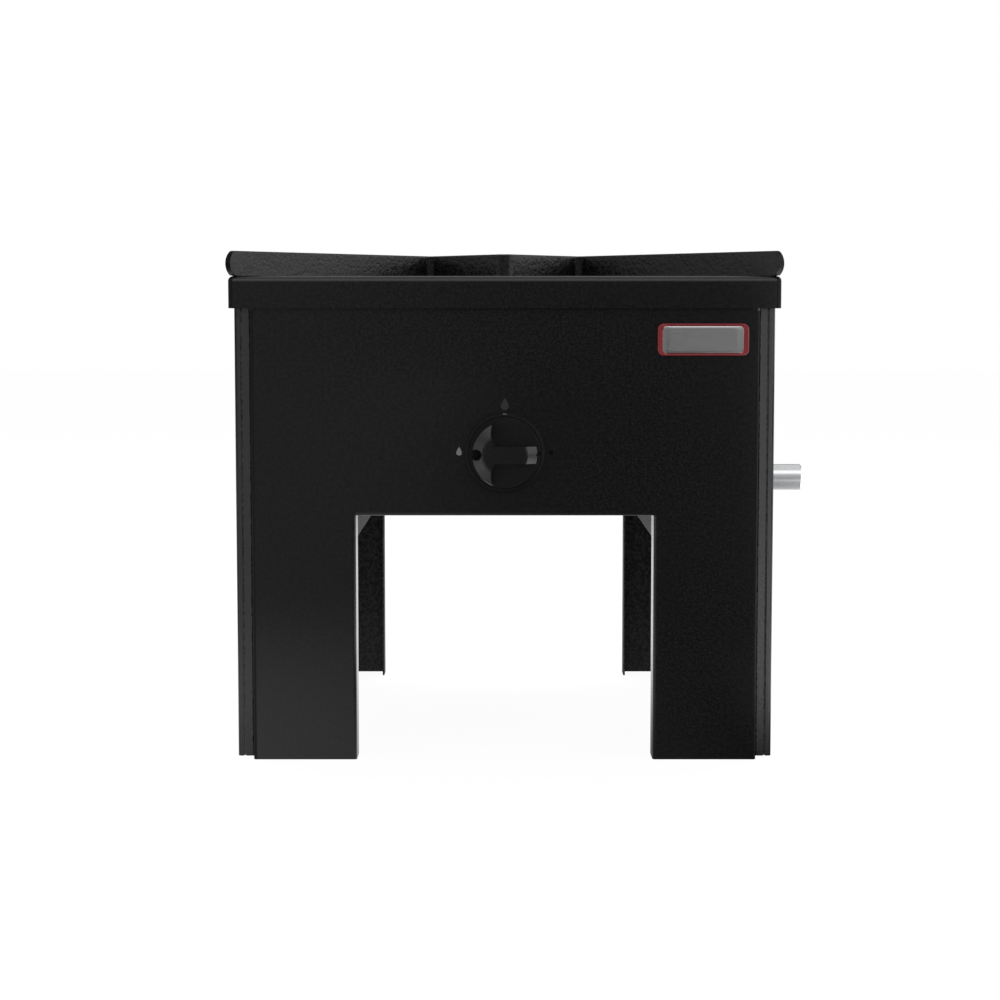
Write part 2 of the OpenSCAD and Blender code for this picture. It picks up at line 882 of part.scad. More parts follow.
module manifold() {
    edge = 0.8;
    color(zinc) difference() {
        turned_manifold() polygon([
            [0, plug_x],
            [manifold_r, plug_x],
            [manifold_r, inlet_step],
            [inlet_r, inlet_step],
            [inlet_r, tube_end - edge],
            [inlet_r - edge, tube_end],
            [0, tube_end]
        ]);
        rod_x(manifold_r - manifold_wall, plug_x - cut, tube_end + cut, manifold_back, manifold_z);
        rod_z(port_r, manifold_z, manifold_z + manifold_r + cut, 0, manifold_back);
    }
}

module manifold_end_plug() {
    color(zinc) {
        rod_x(manifold_r - manifold_wall - 0.02, plug_x, plug_x + 8, manifold_back, manifold_z);
        rod_x(manifold_r, plug_x - 3, plug_x, manifold_back, manifold_z);
    }
}

module stand_holes(z0, z1) {
    for (y = [-stand_y, stand_y]) rod_z(m4_r + loose, z0, z1, rail_mid, manifold_back + y);
}

// Pipe stand on the right rail: a ring around the manifold on a foot with two screws
module manifold_stand() {
    foot = stand_y + 6;
    color(steel) difference() {
        union() {
            rod_x(manifold_r + 3, rail_mid - stand_half, rail_mid + stand_half, manifold_back, manifold_z);
            translate([rail_mid - stand_half, manifold_back - 5, rail_top])
                cube([2 * stand_half, 10, manifold_z - rail_top]);
            translate([rail_mid - stand_half, manifold_back - foot, rail_top])
                cube([2 * stand_half, 2 * foot, bracket_t]);
        }
        rod_x(manifold_r + bite, rail_x, rail_mid + rail_flange, manifold_back, manifold_z);
        stand_holes(rail_top - cut, rail_top + bracket_t + cut);
    }
}

module manifold_stand_screws() {
    color(zinc) for (y = [-stand_y, stand_y])
        pan_screw(rail_top + bracket_t, rail_grip, rail_mid, manifold_back + y);
}

// Nuts of the screws that hold the injector bracket and the manifold stand
module rail_nuts() {
    seat = rail_top - sheet;
    color(zinc) {
        for (y = [-bracket_screw_y, bracket_screw_y]) nut(m4_flats, m4_r, m4_nut, seat, -rail_mid, y);
        for (y = [-stand_y, stand_y])
            nut(m4_flats, m4_r, m4_nut, seat, rail_mid, manifold_back + y);
    }
}

// ---- tap ----
// Plate with two ears for the bonnet screws
module eared_plate(y0, y1) {
    along_y(y0, y1) translate([0, tap_z]) {
        circle(barrel_r + 2);
        square([2 * ear_x, 2 * ear_r], center = true);
        for (x = [-ear_x, ear_x]) translate([x, 0]) circle(ear_r);
    }
}

module plug_taper(gap, y0, y1) {
    slope = (plug_r0 - plug_r1) / plug_len;
    translate([0, y1, tap_z]) rotate([90, 0, 0]) cylinder(
        r1 = plug_r0 - slope * (y1 - plug_front) + gap,
        r2 = plug_r0 - slope * (y0 - plug_front) + gap,
        h = y1 - y0
    );
}

// Block astride the manifold, between two heights
module saddle_block(z0, z1) {
    translate([-saddle_half, manifold_back - saddle_y, z0])
        cube([2 * saddle_half, 2 * saddle_y - 2, z1 - z0]);
}

module saddle_bore() {
    rod_x(manifold_r + snug, -saddle_half - cut, saddle_half + cut, manifold_back, manifold_z);
}

module tap_body() {
    plug_back = plug_front + plug_len;
    color(brass) difference() {
        union() {
            eared_plate(bonnet_y, bonnet_y + ear_t);
            rod_y(barrel_r, bonnet_y + ear_t - eps, barrel_end, 0, tap_z);
            saddle_block(manifold_z + 1, manifold_z + manifold_r + 1.5);
            rod_x(stub_r + 1.5, outlet_x, 0, outlet_y, tap_z);
            rod_x(stub_r, outlet_x - stub_l, outlet_x + eps, outlet_y, tap_z);
        }
        plug_taper(run, bonnet_y - cut, plug_back);
        rod_y(5, plug_back - eps, barrel_end + cut, 0, tap_z);
        rod_y(magnet_r + snug, barrel_end - 8, barrel_end + cut, 0, tap_z);
        rod_x(port_r, outlet_x - 6, 0, outlet_y, tap_z);
        rod_x(feed_r + snug, outlet_x - stub_l - cut, outlet_x + loose, outlet_y, tap_z);
        saddle_bore();
        rod_z(port_r, manifold_z, tap_z, 0, manifold_back);
        for (y = [-clamp_y, clamp_y])
            rod_z(m4_r, manifold_z, manifold_z + clamp_grip + 2, 0, manifold_back + y);
        for (x = [-ear_x, ear_x]) rod_y(m4_r, bonnet_y - cut, bonnet_y + ear_t + cut, x, tap_z);
    }
}

module tap_clamp() {
    color(steel) difference() {
        saddle_block(clamp_bottom, manifold_z - 1);
        saddle_bore();
        for (y = [-clamp_y, clamp_y])
            rod_z(m4_r + loose, clamp_bottom - cut, manifold_z, 0, manifold_back + y);
    }
}

module tap_clamp_bolts() {
    color(zinc) head_down(clamp_bottom) for (y = [-clamp_y, clamp_y])
        m4_bolt(clamp_bottom, manifold_z + clamp_grip - clamp_bottom, 0, manifold_back + y);
}

module tap_bonnet() {
    color(zinc) difference() {
        union() {
            eared_plate(bonnet_y - bonnet_t, bonnet_y);
            rod_y(bonnet_r, bonnet_front, bonnet_y - bonnet_t + eps, 0, tap_z);
        }
        rod_y(bonnet_r - 2.4, bonnet_front + 2, bonnet_y + cut, 0, tap_z);
        rod_y(stem_r + run, bonnet_front - cut, bonnet_front + 2 + cut, 0, tap_z);
        for (x = [-ear_x, ear_x]) rod_y(m4_r + loose, bonnet_y - bonnet_t - cut, bonnet_y + cut, x, tap_z);
    }
}

module tap_bonnet_screws() {
    seat = bonnet_y - bonnet_t;
    color(zinc) for (x = [-ear_x, ear_x]) {
        rod_y(pan_r - loose, seat - pan_h, seat, x, tap_z);
        rod_y(m4_r - bite, seat - eps, bonnet_y + ear_t, x, tap_z);
    }
}

// Round bar with a flat on its upper side, drawn in X and Z about the tap's axis
module d_section(gap) {
    r = stem_r + gap;
    translate([0, tap_z]) intersection() {
        circle(r);
        translate([-r, -r]) square([2 * r, r + stem_flat + gap]);
    }
}

module tap_plug() {
    color(brass) difference() {
        plug_taper(0, plug_front + 0.5, plug_front + plug_len - 0.5);
        along_y(plug_front, stem_end + push + 0.5) d_section(run);
        rod_y(stem_r, outlet_y - port_r + 1, plug_front + plug_len, 0, tap_z);
        rod_z(port_r, tap_z, tap_z + plug_r0 + cut, 0, outlet_y);
        rod_x(0.8, 0, plug_r0 + cut, outlet_y, tap_z);
    }
}

module tap_stem() {
    flat_from = bonnet_front - push;
    color(zinc) {
        along_y(collar_y + collar_t - eps, stem_end) d_section(0);
        rod_y(collar_r, collar_y, collar_y + collar_t, 0, tap_z);
        rod_y(stem_r, flat_from, collar_y + eps, 0, tap_z);
        along_y(stem_tip, flat_from + eps) d_section(0);
    }
}

function spring_point(t) = [
    spring_r * cos(360 * spring_turns * t),
    spring_y0 + (spring_y1 - spring_y0) * t,
    tap_z + spring_r * sin(360 * spring_turns * t)
];

// Coil spring, swept as rings of the wire's section along its helix
module stem_spring() {
    rings = 24 * spring_turns;
    sides = 6;
    ring = function(i) let (
        p = spring_point(i / rings),
        out = unit([p[0], 0, p[2] - tap_z])
    ) [for (k = [0:sides - 1])
        p + spring_wire * (out * cos(360 * k / sides) + [0, 1, 0] * sin(360 * k / sides))];
    points = [for (i = [0:rings]) each ring(i)];
    walls = [for (i = [0:rings - 1], k = [0:sides - 1]) let (n = (k + 1) % sides)
        [i * sides + k, (i + 1) * sides + k, (i + 1) * sides + n, i * sides + n]];
    start = [for (k = [0:sides - 1]) k];
    end = [for (k = [sides - 1:-1:0]) rings * sides + k];
    color(zinc) polyhedron(points, concat([start], walls, [end]));
}

module magnet_unit() {
    color(brass) difference() {
        union() {
            rod_y(magnet_r, barrel_end - 7, barrel_end + eps, 0, tap_z);
            hex_y(holder_flats, barrel_end, barrel_end + 7, 0, tap_z);
        }
        rod_y(lead_r + snug, barrel_end + 1, barrel_end + 7 + cut, 0, tap_z);
    }
}

module thermocouple() {
    collar = probe_z0 + 3.1;
    color(copper) bent_rod([
        [0, barrel_end + 1.5, tap_z],
        [0, probe_y, tap_z],
        [0, probe_y, probe_z0]
    ], lead_r, lead_bend);
    color(steel) {
        rod_z(probe_head_r, collar, collar + 3, 0, probe_y);
        rod_z(probe_r, probe_z0 - eps, probe_top, 0, probe_y);
    }
}

module thermocouple_bracket() {
    shelf = probe_z0 + sheet;
    color(steel) difference() {
        along_x(-shelf_w / 2, shelf_w / 2) fold([
            [probe_y - shelf_front, shelf],
            [probe_y + shelf_back, shelf],
            [probe_y + shelf_back, boss_z],
            [-strap_y + strap_w / 2 - 2, boss_z]
        ]);
        rod_z(probe_r + snug, shelf - cut, shelf + sheet + cut, 0, probe_y);
    }
}

// ---- knob ----
// Turned about the tap's axis, in front of the panel: first number radius, second height
module turned_knob() {
    translate([0, -half_d, tap_z]) rotate([90, 0, 0]) rotate_extrude() children();
}

module knob_bezel() {
    inner = knob_r + bezel_gap;
    ring = bezel_r - inner;
    color(black) turned_knob() polygon([
        [inner, 0],
        [bezel_r, 0],
        [bezel_r, 1.6],
        [inner + ring * 0.55, bezel_h - 0.8],
        [inner + ring * 0.25, bezel_h],
        [inner, bezel_h]
    ]);
}

// One finger pocket beside the grip, drawn in X and Z about the tap's axis
module pocket() {
    intersection() {
        union() {
            translate([pocket_x, pocket_z]) circle(pocket_r);
            translate([pocket_x, 0]) square([knob_r, 2 * knob_r]);
        }
        translate([-knob_r, grip_w / 2]) square([2 * knob_r, 2 * knob_r]);
    }
}

module knob() {
    color(black) difference() {
        turned_knob() polygon([
            [0, knob_base],
            [knob_r, knob_base],
            [knob_r, skirt_h - 0.8],
            [knob_r - 0.8, skirt_h],
            [shoulder_r, skirt_h],
            [shoulder_r, shoulder_h],
            [shoulder_r - 0.8, shoulder_h + 1.6],
            [face_r + 1.5, knob_h - 0.6],
            [face_r, knob_h],
            [0, knob_h]
        ]);
        for (m = [0, 1]) translate([0, 0, tap_z]) mirror([0, 0, m])
            along_y(-half_d - knob_h - cut, -half_d - skirt_h) pocket();
        rod_y(dimple_r, -half_d - knob_h - cut, -half_d - shoulder_h + 6, dimple_x, tap_z);
        translate([shoulder_r - 1.6, -half_d - knob_h, tap_z - notch_w / 2])
            cube([4, knob_h - skirt_h, notch_w]);
        along_y(stem_tip - 0.5, -half_d - knob_base + cut) d_section(run);
    }
}

// ---- grate ----
// Section of a rib, standing on its lower edge
module rib_section() {
    half = rib_t / 2;
    foot = half + rib_draft;
    polygon([
        [-foot, 0],
        [foot, 0],
        [half, rib_h - rib_round],
        [half - rib_round, rib_h - rib_round],
        [half - rib_round, rib_h],
        [-half + rib_round, rib_h],
        [-half + rib_round, rib_h - rib_round],
        [-half, rib_h - rib_round]
    ]);
    for (x = [-1, 1]) translate([x * (half - rib_round), rib_h - rib_round]) circle(rib_round);
}

// Side view of a corner rib: a bar with a rounded end
module rib_side(from) {
    middle = rib_reach - rib_arc;
    intersection() {
        union() {
            translate([from, -5]) square([middle - from, rib_h + 10]);
            translate([middle, rib_h / 2]) circle(rib_arc);
        }
        translate([from, 0]) square([rib_reach - from, rib_h]);
    }
}

module corner_rib() {
    from = diamond_out - rib_t / 2;
    intersection() {
        translate([from, 0, 0]) rotate([90, 0, 90]) linear_extrude(rib_reach - from) rib_section();
        translate([0, rib_t, 0]) rotate([90, 0, 0]) linear_extrude(2 * rib_t) rib_side(from);
    }
}

module diamond_side() {
    reach = diamond_out - diamond_round;
    translate([diamond_out - rib_t / 2, reach, 0]) rotate([90, 0, 0])
        linear_extrude(2 * reach) rib_section();
    translate([reach, reach, 0]) rotate_extrude(angle = 90)
        translate([diamond_round - rib_t / 2, 0]) rib_section();
}

// Cast fillets in the two corners between a corner rib and the diamond
module rib_fillets() {
    face = diamond_out;
    for (s = [-1, 1]) mirror([0, s > 0 ? 0 : 1, 0])
        translate([face - 1, rib_t / 2 - 1, 0]) linear_extrude(rib_h - rib_round) difference() {
            square(rib_fillet + 1);
            translate([rib_fillet + 1, rib_fillet + 1]) circle(rib_fillet);
        }
}

// Lug under a corner rib that drops into the dish and keeps the grate in the middle
module centring_lug() {
    translate([lug_x, -rib_t / 2, -lug_h]) cube([lug_l, rib_t, lug_h + cut]);
}

module grate() {
    color(iron) translate([0, 0, grate_z]) for (i = [0:3]) rotate([0, 0, 45 + 90 * i]) {
        diamond_side();
        corner_rib();
        rib_fillets();
        centring_lug();
    }
}

front_panel();
rear_panel();
left_panel();
right_panel();
front_left_post();
front_right_post();
rear_left_post();
rear_right_post();
top_tray();
left_rail();
right_rail();
front_strap();
rear_strap();
strap_bolts();
strap_nuts();
burner_body();
burner_bolts();
burner_cap();
mixing_tube();
air_shutter();
injector_bracket();
injector_bracket_screws();
injector_holder();
injector_lock_nut();
injector();
injector_feed_nut();
feed_tube();
tap_feed_nut();
manifold();
manifold_end_plug();
manifold_stand();
manifold_stand_screws();
rail_nuts();
tap_body();
tap_clamp();
tap_clamp_bolts();
tap_bonnet();
tap_bonnet_screws();
tap_plug();
tap_stem();
stem_spring();
magnet_unit();
thermocouple();
thermocouple_bracket();
knob_bezel();
knob();
grate();
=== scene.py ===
"""Looks of the burner stand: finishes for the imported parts, its printed marks, blank plate and welds.

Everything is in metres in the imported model's frame: +X is the viewer's right, +Y the rear, +Z up, and
the floor is Z = 0. Finishes read Object coordinates, so their patterns are sized in metres.
"""

import json
import math

import bmesh
import bpy
import numpy as np
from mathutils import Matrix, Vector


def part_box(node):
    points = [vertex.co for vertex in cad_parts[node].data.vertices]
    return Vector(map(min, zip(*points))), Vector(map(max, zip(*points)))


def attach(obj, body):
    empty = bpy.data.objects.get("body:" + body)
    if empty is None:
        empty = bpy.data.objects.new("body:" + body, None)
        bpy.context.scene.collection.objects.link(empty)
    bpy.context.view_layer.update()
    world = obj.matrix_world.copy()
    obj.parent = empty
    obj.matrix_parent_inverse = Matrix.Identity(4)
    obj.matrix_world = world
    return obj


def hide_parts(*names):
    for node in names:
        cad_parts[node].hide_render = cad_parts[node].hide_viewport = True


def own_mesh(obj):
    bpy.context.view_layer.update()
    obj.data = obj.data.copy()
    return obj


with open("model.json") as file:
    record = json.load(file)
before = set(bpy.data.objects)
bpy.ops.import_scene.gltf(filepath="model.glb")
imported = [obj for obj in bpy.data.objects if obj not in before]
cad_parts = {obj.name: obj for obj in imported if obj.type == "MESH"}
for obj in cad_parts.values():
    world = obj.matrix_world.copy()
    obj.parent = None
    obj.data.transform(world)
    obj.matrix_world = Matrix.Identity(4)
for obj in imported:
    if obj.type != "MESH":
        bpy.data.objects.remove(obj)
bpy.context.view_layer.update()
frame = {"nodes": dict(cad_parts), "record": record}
nodes = frame["nodes"]

FRONT_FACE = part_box("front_panel")[0][1]
TRAY_LOW, TRAY_TOP = (corner[2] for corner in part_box("top_tray"))
TAP_Z = 0.2289  # height of the tap's axis

# The body's sheets, as distances from its middle line
BODY_HALF = 0.200  # outer faces of the panels
STEP = 0.1838  # where the bend beside a corner begins
LIP = 0.1885  # where a lip comes out of the corner's shadow
LIP_FACE = 0.1862  # face of the lips, fore and aft

# The rounded end of a corner rib of the grate: an arc about a point on the rib's middle line
RIB_END_PLACE = 0.2746
RIB_END_ARC = 0.0114
RIB_MIDDLE_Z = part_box("grate")[1][2] - 0.009


# ---- shader sums ----
class Wire:
    """One socket of a material. Plain sums on it add Math nodes, and node() adds any other kind."""

    def __init__(self, tree, socket=None):
        self.tree = tree
        self.socket = socket

    def node(self, kind, settings=(), sockets=(), out=0):
        """Adds a node: its settings first, then its sockets' values or links. Gives one output."""
        made = self.tree.nodes.new("ShaderNode" + kind)
        for name, value in dict(settings).items():
            setattr(made, name, value)
        for name, value in dict(sockets).items():
            plug(self.tree, made.inputs[name], value)
        return Wire(self.tree, made.outputs[out])

    def math(self, operation, *values):
        return self.node("Math", {"operation": operation}, dict(enumerate(values)))

    def __add__(self, other):
        return self.math("ADD", self, other)

    def __sub__(self, other):
        return self.math("SUBTRACT", self, other)

    def __rsub__(self, other):
        return self.math("SUBTRACT", other, self)

    def __mul__(self, other):
        return self.math("MULTIPLY", self, other)

    def __pow__(self, other):
        return self.math("POWER", self, other)

    def __abs__(self):
        return self.math("ABSOLUTE", self)

    __radd__ = __add__
    __rmul__ = __mul__


def plug(tree, socket, value):
    """Links a wire into a socket, or sets the socket to a plain value."""
    if isinstance(value, Wire):
        tree.links.new(value.socket, socket)
    elif isinstance(value, tuple) and len(value) == 3 and socket.type == "RGBA":
        socket.default_value = (*value, 1.0)
    else:
        socket.default_value = value


def finish(name, paint):
    """A material whose Principled shader takes the sockets that paint(place) gives.

    place is the Object coordinate of the surface, in metres.
    """
    material = bpy.data.materials.new(name)
    material.use_nodes = True
    tree = material.node_tree
    shader = tree.nodes["Principled BSDF"]
    place = Wire(tree).node("TexCoord", out="Object")
    for socket, value in paint(place).items():
        plug(tree, shader.inputs[socket], value)
    return material


def grain(place, per_metre, detail=2.0, roughness=0.5, stretch=None):
    """Noise between 0 and 1 with that many cells in a metre, drawn out along an axis by stretch."""
    if stretch:
        place = place.node("Mapping", {}, {"Vector": place, "Scale": stretch})
    return place.node(
        "TexNoise", {}, {"Vector": place, "Scale": per_metre, "Detail": detail, "Roughness": roughness}
    )


def cells(place, per_metre, out="Distance"):
    """Scattered cells with that many in a metre: the distance to a cell's middle, or its own tone."""
    return place.node("TexVoronoi", {"feature": "F1"}, {"Vector": place, "Scale": per_metre}, out=out)


def relief(height, distance, strength=1.0, under=None):
    """Normal from a height between 0 and 1 that stands that many metres proud."""
    sockets = {"Height": height, "Distance": distance, "Strength": strength}
    if under:
        sockets["Normal"] = under
    return height.node("Bump", {}, sockets)


def blend(low, high, share):
    """Colour between two colours."""
    return share.node("Mix", {"data_type": "RGBA"}, {0: share, 6: low, 7: high}, out=2)


def share_of(value, low, high):
    """Rises smoothly from 0 where value is low to 1 where it is high; falls if high is below low."""
    ends = {"Value": value, "From Min": low, "From Max": high}
    return value.node("MapRange", {"interpolation_type": "SMOOTHSTEP"}, ends)


def axis(vector, letter):
    """One component of a vector."""
    return vector.node("SeparateXYZ", {}, {"Vector": vector}, out=letter)


# ---- finishes of the piece kinds ----
def powder_coat(place):
    """Black textured powder coat under its own gloss: fine grains and faint mottling, a thinner and rougher
    coat well inside the body, a paler tone on the inner faces as painted bounce light, and a paler metallic
    tone on the lips beside each corner as a painted sheen; the lips lean outwards."""
    fine = grain(place, 430.0, 2.0, 0.6)
    speck = share_of(fine, 0.38, 0.64)
    patches = grain(place, 14.0, 3.0)
    across, deep, height = abs(axis(place, "X")), abs(axis(place, "Y")), axis(place, "Z")
    # the lips beside each corner: mask of a painted sheen, a paler metallic tone, and of their outward lean
    lip_sheen = share_of(across, LIP, LIP + 0.0007) * share_of(abs(deep - LIP_FACE), 0.0005, 0.0002)

    # inner faces, but not the step beside a corner; the core is what lies well inside the arches
    within = share_of(across, BODY_HALF - 0.0008, BODY_HALF - 0.0012)
    within = within * share_of(deep, BODY_HALF - 0.0008, BODY_HALF - 0.0012)
    step = share_of(across, STEP + 0.0002, STEP + 0.0012)
    step = step * share_of(deep, LIP_FACE - 0.0012, LIP_FACE - 0.0006)
    inside = within * (1 - step) * share_of(height, TRAY_LOW - 0.0002, TRAY_LOW - 0.0022)
    core = share_of(across, 0.156, 0.150) * share_of(axis(place, "Y"), -0.156, -0.150) * inside

    # bends are a little rough: those beside the corners, and the tray's at its corners and its crest
    bend = share_of(across, STEP, STEP + 0.0012) * share_of(across, LIP + 0.0005, LIP + 0.0001)
    bend = bend * share_of(height, TRAY_LOW - 0.0012, TRAY_LOW - 0.0022)
    corner = share_of(deep, BODY_HALF - 0.0010, BODY_HALF + 0.0002)
    corner = corner * share_of(height, TRAY_LOW - 0.0047, TRAY_LOW - 0.0007)
    crest = share_of(height, TRAY_TOP - 0.0020, TRAY_TOP - 0.0004)
    tray_bend = share_of(across, BODY_HALF - 0.0020, BODY_HALF - 0.0005) * (corner + crest - corner * crest)
    bend = bend + tray_bend

    black = blend((0.0002, 0.0002, 0.0002), (0.0034, 0.0034, 0.0035), speck)
    # painted bounce light: a paler tone for the inner faces, which lie in shade inside the body
    painted_bounce_tone = blend((0.022, 0.022, 0.022), (0.060, 0.060, 0.060), speck)
    lean = relief(across * lip_sheen * -1.0, 1.0)
    return {
        # paler inside the body as painted bounce light, and paler on the lips as a painted sheen
        "Base Color": blend(blend(black, painted_bounce_tone, inside), (0.068, 0.068, 0.069), lip_sheen),
        "Metallic": lip_sheen * 0.90,
        "Roughness": 0.46 + patches * 0.08 + speck * 0.08 + core * 0.4 - lip_sheen * 0.14 + bend * 0.25,
        "Specular IOR Level": 0.25,
        "Coat Weight": 0.7 - 0.5 * lip_sheen - 0.6 * core - 0.65 * bend,
        "Coat Roughness": 0.08,
        "Normal": relief(fine, 0.00034, 0.7, under=lean),
    }


def casting_skin(place):
    """Black enamelled iron: fine grains of the sand mould under a satin coat, and painted shade on the
    rounded ends of the corner ribs, which makes them dull and dark there."""
    sand = grain(place, 400.0, 2.0, 0.6)
    speck = share_of(sand, 0.38, 0.62)
    swell = grain(place, 120.0, 2.0)
    beyond = (abs(axis(place, "X")) + abs(axis(place, "Y"))) * math.sqrt(0.5) - RIB_END_PLACE
    from_middle = (beyond ** 2 + (axis(place, "Z") - RIB_MIDDLE_Z) ** 2) ** 0.5
    # the rounded ends of the corner ribs: mask of a painted shade, a duller and darker metallic tone
    end = share_of(from_middle, RIB_END_ARC - 0.00035, RIB_END_ARC - 0.00015)
    end = end * share_of(beyond, 0.0030, 0.0060)
    enamel = blend((0.001, 0.001, 0.001), (0.006, 0.006, 0.006), speck)
    return {
        "Base Color": blend(enamel, (0.010, 0.010, 0.010), end),
        "Metallic": end,
        "Roughness": 0.24 + speck * 0.10 + swell * 0.06 + end * 0.10,
        "Specular IOR Level": 0.45,
        "Normal": relief(sand * 0.8 + swell * 0.4, 0.00055, 0.8),
    }


def grey_iron(place):
    """Bare grey cast iron with a dull heat-stained skin."""
    sand = cells(place, 420.0)
    heat = grain(place, 18.0, 4.0)
    return {
        "Base Color": blend((0.040, 0.036, 0.034), (0.115, 0.105, 0.100), heat * 0.7 + sand * 0.3),
        "Roughness": 0.62 + heat * 0.16,
        "Metallic": 0.55,
        "Normal": relief(sand + heat, 0.0007, 0.5),
    }


def zinc_sheet(place):
    """Galvanised sheet: crystals of a few millimetres, each with its own shine."""
    spangle = cells(place, 160.0, out="Color")
    shade = spangle.node("SeparateColor", {}, {"Color": spangle})
    dust = grain(place, 900.0, 2.0)
    return {
        "Base Color": blend((0.42, 0.43, 0.45), (0.60, 0.61, 0.62), shade),
        "Roughness": 0.30 + shade * 0.14 + dust * 0.05,
        "Metallic": 1.0,
        "Normal": relief(dust, 0.0001, 0.3),
    }


def bright_zinc(place):
    """Zinc plated fasteners and turned steel: turning lines and a faint warm cast."""
    lines = grain(place, 1500.0, 2.0)
    cast = grain(place, 60.0, 2.0)
    return {
        "Base Color": blend((0.50, 0.50, 0.50), (0.64, 0.63, 0.58), cast),
        "Roughness": 0.24 + lines * 0.12,
        "Metallic": 1.0,
        "Normal": relief(lines, 0.00005, 0.3),
    }


def drawn_tube(place):
    """Drawn steel tube: fine lines along X and a satin shine."""
    lines = grain(place, 2600.0, 3.0, stretch=(0.02, 1.0, 1.0))
    haze = grain(place, 120.0, 2.0)
    return {
        "Base Color": blend((0.80, 0.81, 0.82), (0.90, 0.91, 0.92), lines),
        "Roughness": 0.16 + lines * 0.08 + haze * 0.04,
        "Metallic": 0.82,
        "Normal": relief(lines, 0.00004, 0.35),
    }


def turned_brass(place):
    """Brass bar stock: fine turning lines, darker where it has tarnished."""
    lines = grain(place, 1700.0, 2.0)
    tarnish = grain(place, 55.0, 3.0)
    return {
        "Base Color": blend((0.36, 0.24, 0.09), (0.66, 0.48, 0.20), tarnish),
        "Roughness": 0.26 + tarnish * 0.12 + lines * 0.06,
        "Metallic": 1.0,
        "Normal": relief(lines, 0.00006, 0.3),
    }


def soft_copper(place):
    """Soft drawn copper: patches of brown tarnish on a satin tube."""
    tarnish = grain(place, 45.0, 4.0)
    lines = grain(place, 1200.0, 2.0)
    return {
        "Base Color": blend((0.28, 0.12, 0.06), (0.72, 0.34, 0.20), tarnish),
        "Roughness": 0.28 + tarnish * 0.14,
        "Metallic": 1.0,
        "Normal": relief(lines, 0.00005, 0.25),
    }


DIMPLE_X, DIMPLE_R = 0.0208, 0.00425  # the pointer's dimple: left of the axis, and its radius
NOTCH_X = 0.0230  # where the notch at the other end of the grip begins
KNOB_RIM = 0.0252  # radius where the knob's rim begins


def moulded_plastic(place):
    """Black thermoset plastic: satin, with the fine bloom of the mould, and painted shade in the
    pointer's dimple and in the notch at its other end, which makes them dull black."""
    bloom = grain(place, 1400.0, 2.0)
    flow = grain(place, 40.0, 2.0)
    across, up = axis(place, "X"), axis(place, "Z") - TAP_Z
    dimple = share_of(((across + DIMPLE_X) ** 2 + up ** 2) ** 0.5, DIMPLE_R, DIMPLE_R - 0.00015)
    rim = share_of((across ** 2 + up ** 2) ** 0.5, KNOB_RIM, KNOB_RIM + 0.0004)
    notch = share_of(abs(up + 0.0002), 0.00075, 0.00050) * share_of(across, NOTCH_X, NOTCH_X + 0.0004)
    # the dimple and the notch: mask of painted shade, darker and duller in these hollows
    hollow_shade = dimple + notch
    black = blend((0.0028, 0.0028, 0.0029), (0.0052, 0.0052, 0.0054), flow)
    return {
        "Base Color": blend(black, (0.003, 0.003, 0.003), hollow_shade),
        "Roughness": 0.22 + flow * 0.05 + bloom * 0.04 + hollow_shade * 0.6 + rim * 0.35,
        "Metallic": notch * 0.9 + rim * 0.6,
        "Specular IOR Level": 0.5,
        "Normal": relief(bloom, 0.00004, 0.25),
    }


def satin_plastic(place):
    """Black plastic of the ring round the knob: duller, from a textured mould."""
    bloom = grain(place, 1400.0, 2.0)
    return {
        "Base Color": blend((0.0085, 0.0085, 0.0087), (0.0135, 0.0135, 0.0138), bloom),
        "Roughness": 0.62 + bloom * 0.08,
        "Metallic": 0.4,
        "Specular IOR Level": 0.22,
        "Normal": relief(bloom, 0.00005, 0.4),
    }


FINISHES = {
    "black_powder_coat": finish("black_powder_coat", powder_coat),
    "black_cast_iron": finish("black_casting_skin", casting_skin),
    "bare_cast_iron": finish("grey_iron", grey_iron),
    "galvanised_steel": finish("galvanised_sheet", zinc_sheet),
    "zinc_plated": finish("bright_zinc", bright_zinc),
    "silver_tube": finish("drawn_tube", drawn_tube),
    "brass": finish("turned_brass", turned_brass),
    "copper": finish("soft_copper", soft_copper),
    "black_plastic": finish("moulded_plastic", moulded_plastic),
}

for part in frame["record"]["subparts"]:
    node = nodes[part["node"]]
    for kept in node.material_slots:
        kept.material = FINISHES[part["material_slot"]]
nodes["knob_bezel"].material_slots[0].material = finish("satin_plastic", satin_plastic)


# ---- surfaces ----
def surface(name, grid, material, body="stand"):
    """A closed piece from a grid of points, rows by columns by 3, whose columns wrap round.

    Cell (i, j) is the quad between rows i and i + 1 and columns j and j + 1. Rows that shrink to a
    point are merged into a pole.
    """
    rows, columns = grid.shape[:2]
    i, j = np.meshgrid(np.arange(rows - 1), np.arange(columns), indexing="ij")
    right = (j + 1) % columns
    quads = np.stack(
        [i * columns + j, i * columns + right, (i + 1) * columns + right, (i + 1) * columns + j], -1
    ).reshape(-1, 4)
    mesh = bpy.data.meshes.new(name)
    mesh.from_pydata(grid.reshape(-1, 3).tolist(), [], quads.tolist())
    mesh.materials.append(material)
    close_up(mesh)
    piece = bpy.data.objects.new(name, mesh)
    bpy.context.scene.collection.objects.link(piece)
    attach(piece, body)
    return piece


def close_up(mesh):
    """Merges the doubles of a mesh, turns its faces outwards and shades it smooth."""
    work = bmesh.new()
    work.from_mesh(mesh)
    bmesh.ops.remove_doubles(work, verts=work.verts, dist=1e-7)
    bmesh.ops.recalc_face_normals(work, faces=work.faces)
    for face in work.faces:
        face.smooth = True
    work.to_mesh(mesh)
    work.free()


